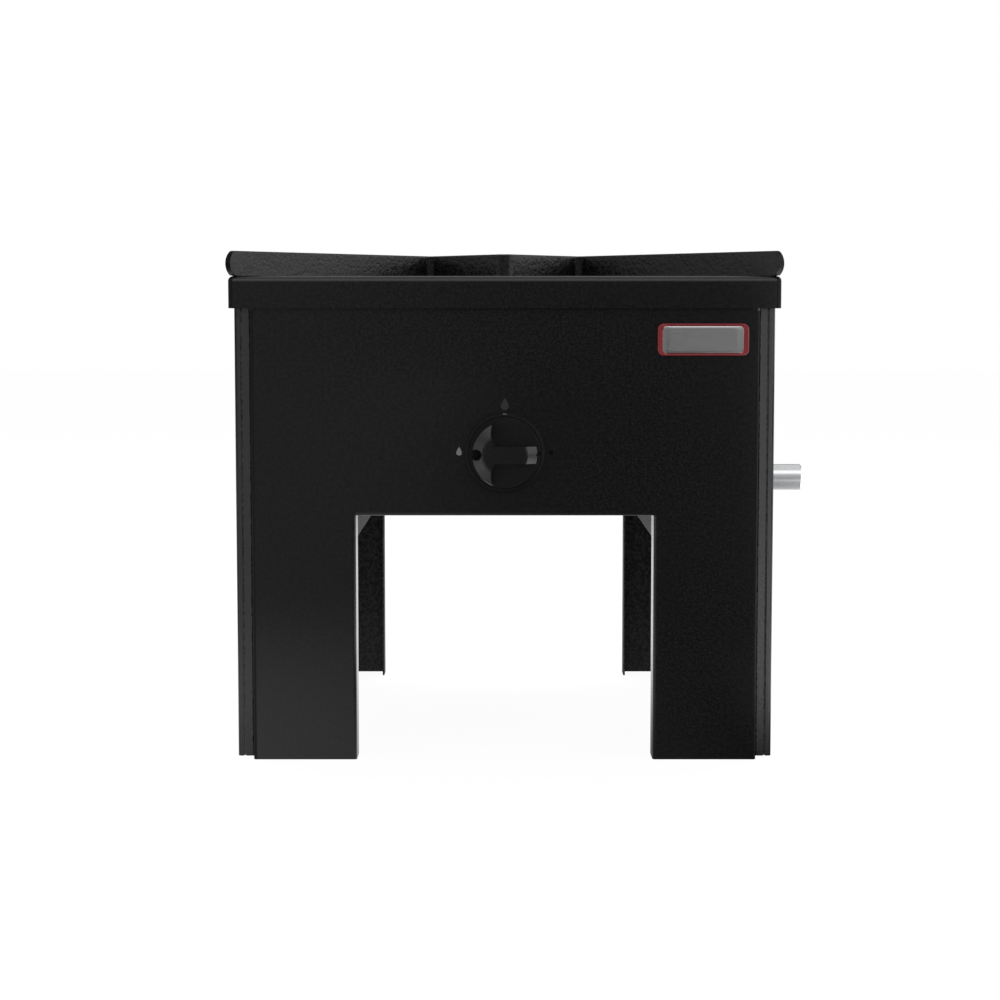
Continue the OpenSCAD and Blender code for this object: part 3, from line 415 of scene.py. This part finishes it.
def pad(outline, profile, x, z, lift=0.0):
    """A flat pad on the front panel: each profile row (share, height) is the outline scaled by its share.

    Point (i, j) is outline j times share i, at height i, to the right and up from (x, z).
    """
    share, height = np.asarray(profile, float).T
    u = share[:, None] * outline[None, :, 0]
    v = share[:, None] * outline[None, :, 1]
    out = FRONT_FACE - lift - height[:, None] + 0 * u
    return np.stack([x + u, out, z + v], -1)


def drop_outline(width, height, count=72):
    """Teardrop with its point up: u = w/2 k sin t sin(t/2)^1.6, v = h/2 cos t, for t from 0 to 2 pi."""
    t = np.linspace(0, 2 * math.pi, count, endpoint=False)
    half = np.sin(t) * np.abs(np.sin(t / 2)) ** 1.6
    return np.stack([width / 2 * half / half.max(), height / 2 * np.cos(t)], -1)


def round_outline(width, height, power=2.0, count=72):
    """Superellipse |u / a|^p + |v / b|^p = 1, a rounded rectangle when p is large."""
    t = np.linspace(0, 2 * math.pi, count, endpoint=False)
    c, s = np.cos(t), np.sin(t)
    size = (np.abs(c) ** power + np.abs(s) ** power) ** (-1 / power)
    return np.stack([width / 2 * size * c, height / 2 * size * s], -1)


def boxed_outline(width, height, corner, count=24):
    """Rectangle with round corners: quarter circles of radius corner about its four corner centres."""
    t = np.linspace(0, math.pi / 2, count)
    quarter = np.stack([np.cos(t), np.sin(t)], -1) * corner
    turns = [
        np.array([[math.cos(a), math.sin(a)], [-math.sin(a), math.cos(a)]])
        for a in np.arange(4) * math.pi / 2
    ]
    centres = np.array([[1, 1], [-1, 1], [-1, -1], [1, -1]]) * [width / 2 - corner, height / 2 - corner]
    return np.concatenate([quarter @ turn + centre for turn, centre in zip(turns, centres)])


def film(thick):
    """Profile of a printed mark: a flat top that rounds down into the panel, and a flat back."""
    return [
        (0.0, thick), (0.5, thick), (0.86, thick), (0.95, thick * 0.8), (1.0, thick * 0.25),
        (1.0, -thick * 0.4), (0.5, -thick * 0.4), (0.0, -thick * 0.4),
    ]


# ---- marks around the knob ----
def ink(low, high, shine=0.3):
    """Printed ink of one grey, a little uneven from the screen."""

    def paint(place):
        speckle = grain(place, 1500.0, 2.0)
        return {
            "Base Color": blend(low, high, speckle),
            "Roughness": 0.6 + speckle * 0.15,
            "Specular IOR Level": shine,
            "Normal": relief(speckle, 0.00004, 0.4),
        }

    return paint


bright_ink = finish("pale_ink", ink((0.150, 0.150, 0.156), (0.230, 0.230, 0.237)))
dim_ink = finish("grey_ink", ink((0.020, 0.0205, 0.022), (0.030, 0.0305, 0.032)))
tick_ink = finish("tick_ink", ink((0.14, 0.14, 0.144), (0.21, 0.21, 0.214)))
dark_ink = finish("off_ink", ink((0.0025, 0.0025, 0.0025), (0.0045, 0.0045, 0.0045), 0.05))

BEZEL_FACE = 0.0041  # how far the ring's face stands out of the panel
# name, outline, thickness of the ink, place right of and above the tap's axis, lift off the panel, ink
MARKS = [
    ("full_flame_mark", drop_outline(0.0058, 0.0092), 0.00012, 0.0, 0.0358, 0.0, dim_ink),
    ("low_flame_mark", drop_outline(0.0041, 0.0066), 0.00012, -0.0336, 0.0012, 0.0, bright_ink),
    ("off_mark", round_outline(0.0034, 0.0034), 0.00010, 0.0342, 0.0001, 0.0, dark_ink),
    ("bezel_tick", boxed_outline(0.0028, 0.0011, 0.0005), 0.00015, 0.0, 0.0284, BEZEL_FACE, tick_ink),
]
for name, outline, thick, x, up, lift, mark_ink in MARKS:
    surface(name, pad(outline, film(thick), x, TAP_Z + up, lift), mark_ink)


# ---- blank plate ----
def enamel(place):
    """Dark red stove enamel with a soft gloss."""
    drift = grain(place, 60.0, 2.0)
    return {
        "Base Color": blend((0.16, 0.006, 0.010), (0.24, 0.010, 0.016), drift),
        "Roughness": 0.28 + drift * 0.08,
        "Coat Weight": 0.4,
        "Normal": relief(drift, 0.00008, 0.3),
    }


def brushed_plate(place):
    """Aluminium brushed along its length."""
    lines = grain(place, 3000.0, 3.0, stretch=(0.03, 1.0, 1.0))
    return {
        "Base Color": blend((0.50, 0.50, 0.51), (0.66, 0.66, 0.67), lines),
        "Roughness": 0.26 + lines * 0.12,
        "Metallic": 1.0,
        "Normal": relief(lines, 0.00004, 0.4),
    }


PLATE_X, PLATE_Z = 0.1455, 0.3118
plate_rim = [
    (0.0, 0.0004), (0.86, 0.0004), (0.90, 0.0012), (0.93, 0.0016), (0.97, 0.0016), (0.995, 0.0011),
    (1.0, 0.0006), (1.0, -0.0001), (0.5, -0.0001), (0.0, -0.0001),
]
plate_face = [
    (0.0, 0.0010), (0.80, 0.0010), (0.97, 0.0010), (1.0, 0.0007),
    (1.0, 0.0003), (0.5, 0.0003), (0.0, 0.0003),
]
surface(
    "plate_border",
    pad(boxed_outline(0.0670, 0.0236, 0.0045), plate_rim, PLATE_X, PLATE_Z),
    finish("red_enamel", enamel),
)
surface(
    "plate_face",
    pad(boxed_outline(0.0600, 0.0200, 0.0030), plate_face, PLATE_X, PLATE_Z),
    finish("brushed_plate", brushed_plate),
)


# ---- welds ----
def bead(start, end, radius, pitch=0.0022, across=14):
    """Weld bead along a line: a tube whose radius is r (1 + 0.16 |sin(pi s / pitch)|) times a taper
    that closes both ends, with s the distance along it."""
    start, end = np.asarray(start, float), np.asarray(end, float)
    length = np.linalg.norm(end - start)
    along = (end - start) / length
    side = np.cross(along, [0.0, 0.0, 1.0] if abs(along[2]) < 0.9 else [1.0, 0.0, 0.0])
    side /= np.linalg.norm(side)
    up = np.cross(side, along)
    s = np.linspace(0, length, int(length / pitch * 5) + 1)
    taper = np.sqrt(np.clip(1 - np.abs(2 * s / length - 1) ** 24, 0, 1))
    r = radius * (1 + 0.16 * np.abs(np.sin(math.pi * s / pitch))) * taper
    a = np.linspace(0, 2 * math.pi, across, endpoint=False)
    ring = np.cos(a)[:, None] * side + np.sin(a)[:, None] * up
    return start + s[:, None, None] * along + r[:, None, None] * ring[None]


def weld_metal(place):
    """Weld under the powder coat: glossier than the sheet, with a scaly surface."""
    scales = grain(place, 700.0, 2.0)
    return {
        "Base Color": blend((0.008, 0.008, 0.008), (0.014, 0.014, 0.014), scales),
        "Roughness": 0.40 + scales * 0.12,
        "Specular IOR Level": 0.32,
        "Normal": relief(scales, 0.0003, 0.4),
    }


weld_coat = finish("coated_weld", weld_metal)
# where a rail's web ends against the arch flange
WELD_X, WELD_Y, WELD_RADIUS = 0.1121, 0.1963, 0.0015
WELD_LOW, WELD_HIGH = 0.164, 0.182
for side_name, side in (("left", -1), ("right", 1)):
    for end_name, end in (("front", -1), ("rear", 1)):
        x, y = side * WELD_X, end * WELD_Y
        weld = bead((x, y, WELD_LOW), (x, y, WELD_HIGH), WELD_RADIUS)
        surface(f"rail_weld_{end_name}_{side_name}", weld, weld_coat)


# ---- spring of the tap's stem ----
def coil(radius=0.006, wire=0.0005, front=-0.19123, rear=-0.18157, turns=4):
    """Coil spring: rings of the wire's round section along a helix about the tap's axis,
    x = R cos t, z = R sin t above the axis and y from front to rear, closed at both ends."""
    share = np.concatenate([[0.0], np.linspace(0, 1, 24 * turns + 1), [1.0]])
    thick = np.full(len(share), wire)
    thick[[0, -1]] = 0.0
    t = 2 * math.pi * turns * share
    outward = np.stack([np.cos(t), 0 * t, np.sin(t)], -1)
    middle = np.stack([0 * t, front + (rear - front) * share, TAP_Z + 0 * t], -1) + radius * outward
    a = np.linspace(0, 2 * math.pi, 10, endpoint=False)[None, :, None]
    ring = np.cos(a) * outward[:, None] + np.sin(a) * np.array([0.0, 1.0, 0.0])
    return middle[:, None] + thick[:, None, None] * ring


spring = surface("pressed_spring", coil(), FINISHES["zinc_plated"], "plug")
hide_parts("stem_spring")
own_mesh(spring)


# ---- dark pads under the ribs' ends: painted contact shadow ----
def contact_shadow_pad(turn, near=0.255, far=0.2812, half=0.0023):
    """Flat dark pad between a corner rib and the tray, filling the gap as a painted contact shadow: a long
    superellipse from near to far along the rib, whose rows (share, height) scale it about its middle,
    turned about Z by turn."""
    low, high = TRAY_TOP + 0.00004, TRAY_TOP + 0.0006
    soft = 0.0001
    rows = np.array([
        (0.0, high), (0.9, high), (1.0, high - soft),
        (1.0, low + soft), (0.96, low), (0.0, low),
    ])
    outline = round_outline(far - near, 2 * half, 5.0, 48)
    u = (near + far) / 2 + rows[:, :1] * outline[None, :, 0]
    v = rows[:, :1] * outline[None, :, 1]
    c, s = math.cos(turn), math.sin(turn)
    return np.stack([u * c - v * s, u * s + v * c, rows[:, 1:] + 0 * u], -1)


iron = FINISHES["black_cast_iron"]
# each pad has the grate's black finish and stands in for the contact shadow where a rib's end rests on the
# tray
for corner_name, eighths in (("rear_right", 1), ("rear_left", 3), ("front_left", 5), ("front_right", 7)):
    shadow_pad = contact_shadow_pad(eighths * math.pi / 4)
    surface(f"contact_shadow_pad_{corner_name}", shadow_pad, iron, "grate")


# ---- floor, light and camera ----
def light_path(tree, kind):
    """1 where the ray that looks is of that kind, else 0."""
    return Wire(tree).node("LightPath", out=f"Is {kind} Ray")


def output(tree, kind, shader):
    """Links a shader to a new output node of a material or a world."""
    plug(tree, tree.nodes.new(f"ShaderNodeOutput{kind}").inputs["Surface"], shader)


def stage_floor():
    """Pale floor: near white to the camera with the object's shadow on it. Reflections see it bright
    behind the object and to its left, and dim in front, with a few brighter patches at its sides."""
    mesh = bpy.data.meshes.new("floor")
    reach = 12.0
    corners = [(-reach, -reach, 0), (reach, -reach, 0), (reach, reach, 0), (-reach, reach, 0)]
    mesh.from_pydata(corners, [], [(0, 1, 2, 3)])
    material = bpy.data.materials.new("pale_floor")
    material.use_nodes = True
    tree = material.node_tree
    tree.nodes.clear()
    start = Wire(tree)
    place = start.node("TexCoord", out="Object")
    across, ahead = axis(place, "X"), axis(place, "Y")

    # in front: dim, paler towards the left, with patches for the knob's flank and for the tube
    left = share_of(across, 0.25, -0.35) * share_of(ahead, -1.2, -0.2)
    flank_side = share_of(across, -0.8, -1.6) * share_of(ahead, -1.9, -1.0)
    tube_side = share_of(across, 0.18, 0.26) * share_of(ahead, -0.9, -0.2)
    slant = across + ahead * 0.122
    tube_strip = share_of(slant, 0.168, 0.186) * share_of(slant, 0.50, 0.35) * share_of(ahead, -0.3, -0.6)
    front = 0.03 + 0.19 * share_of(across, 0.25, -0.4) + 0.70 * left + 0.9 * flank_side
    front = front + 0.35 * tube_side + 0.45 * tube_strip

    # behind: a bright lane seen through the arches
    lane = share_of(abs(across), 0.45, 0.15)
    rear = 0.55 * (1 - 0.65 * share_of(ahead, 1.1, 1.8)) + 0.65 * lane
    shine = front + share_of(ahead, -0.25, 0.45) * (rear - front)

    # beside the front corners: what their lips mirror
    beside = share_of(ahead, -0.45, -0.15)
    far_left = share_of(across, -0.6, -1.2) * beside
    near_left = share_of(across, -0.28, -0.40) * share_of(across, -0.85, -0.60) * beside
    right = share_of(across, 0.28, 0.44) * share_of(ahead, -0.65, -0.40) * share_of(ahead, 0.45, 0.05)
    shine = shine * (1 - 0.85 * far_left) + 0.7 * near_left + 2.1 * right

    matt = start.node("BsdfDiffuse", {}, {"Color": (0.80, 0.80, 0.80)})
    white = start.node("Emission", {}, {"Color": (1.0, 1.0, 1.0), "Strength": 1.12})
    mirrored = start.node("Emission", {}, {"Color": (1.0, 1.0, 1.0), "Strength": shine})
    whiteness = 0.85  # the rest is the matt floor, which shows the shadow
    lit = start.node("MixShader", {}, {0: light_path(tree, "Camera") * whiteness, 1: matt, 2: white})
    seen = start.node("MixShader", {}, {0: light_path(tree, "Glossy"), 1: lit, 2: mirrored})
    output(tree, "Material", seen)
    mesh.materials.append(material)
    floor = bpy.data.objects.new("floor", mesh)
    bpy.context.scene.collection.objects.link(floor)


def stage_world():
    """White to the camera; a soft grey room for light; for reflections a white backdrop and ceiling,
    a soft box at each side, and a dim front."""
    world = bpy.data.worlds.new("studio")
    world.use_nodes = True
    tree = world.node_tree
    tree.nodes.clear()
    start = Wire(tree)
    camera = light_path(tree, "Camera")
    glossy = light_path(tree, "Glossy")
    clear = light_path(tree, "Transmission")
    way = start.node("TexCoord", out="Generated")
    ahead, across, up = axis(way, "Y"), axis(way, "X"), axis(way, "Z")
    backdrop = share_of(ahead, 0.70, 0.97) * (1 - 0.78 * share_of(up, 0.02, 0.12))
    top_box = share_of(up, 0.45, 0.62) * share_of(up, 0.95, 0.80) * share_of(ahead, 0.1, -0.3)
    ceiling = 0.65 * share_of(up, 0.35, 0.65) * share_of(abs(across), 0.70, 0.45) + 0.9 * top_box
    left_box = share_of(across, -0.72, -0.93) * (1 - 0.45 * share_of(ahead, -0.27, -0.12))
    left_box = left_box * (0.3 + 0.7 * share_of(up, 0.0, 0.12))
    right_box = share_of(across, 0.60, 0.85) * (1 - 0.15 * share_of(up, 0.0, 0.15))
    tube_box = share_of(across, 0.125, 0.131) * share_of(across, 0.5, 0.3)
    front = 0.01 + 0.175 * share_of(across, 0.05, -0.15) + 0.10 * share_of(up, 0.03, 0.25)
    front = (front + 0.55 * tube_box) * share_of(ahead, -0.4, -0.8)
    sides = 0.04 + left_box + 1.8 * right_box + front
    low = sides + (1 - sides) * backdrop
    shine = low + (1 - low) * ceiling
    room = 0.32
    unseen = glossy * shine + (1 - glossy) * room
    strength = camera + (1 - camera) * (clear + (1 - clear) * unseen)
    light = start.node("Background", {}, {"Color": (1.0, 1.0, 1.0), "Strength": strength})
    output(tree, "World", light)
    bpy.context.scene.world = world


def softbox(name, place, towards, width, height, power):
    """Rectangular lamp at a place, aimed at a point. Reflections show the studio, not the lamps."""
    lamp = bpy.data.lights.new(name, "AREA")
    lamp.shape = "RECTANGLE"
    lamp.size, lamp.size_y = width, height
    lamp.energy = power
    holder = bpy.data.objects.new(name, lamp)
    holder.location = place
    holder.visible_glossy = False
    way = np.asarray(towards, float) - np.asarray(place, float)
    tilt = math.atan2(math.hypot(way[0], way[1]), -way[2])
    holder.rotation_euler = (tilt, 0.0, math.atan2(way[1], way[0]) - math.pi / 2)
    bpy.context.scene.collection.objects.link(holder)


stage_floor()
stage_world()
softbox("overhead", (0.0, 0.9, 2.3), (0.0, 0.0, 0.3), 2.4, 1.6, 45)
softbox("left_low", (-1.7, -1.5, 0.35), (0.0, -0.2, 0.12), 1.6, 0.6, 9)
softbox("right_front", (2.4, -1.2, 1.1), (0.0, 0.0, 0.2), 0.9, 1.8, 6)
softbox("front_fill", (0.0, -2.8, 0.45), (0.0, 0.0, 0.15), 1.6, 0.8, 16)

LOOK_DOWN = 4.837  # degrees
camera = bpy.data.cameras.new("camera")
camera.sensor_width = 36.0
camera.lens = 76.74
viewer = bpy.data.objects.new("camera", camera)
viewer.location = (-0.00349, -1.76586, 0.3264)
viewer.rotation_euler = (math.radians(90 - LOOK_DOWN), 0.0, 0.0)
bpy.context.scene.collection.objects.link(viewer)
bpy.context.scene.camera = viewer
bpy.context.scene.view_settings.view_transform = "Standard"
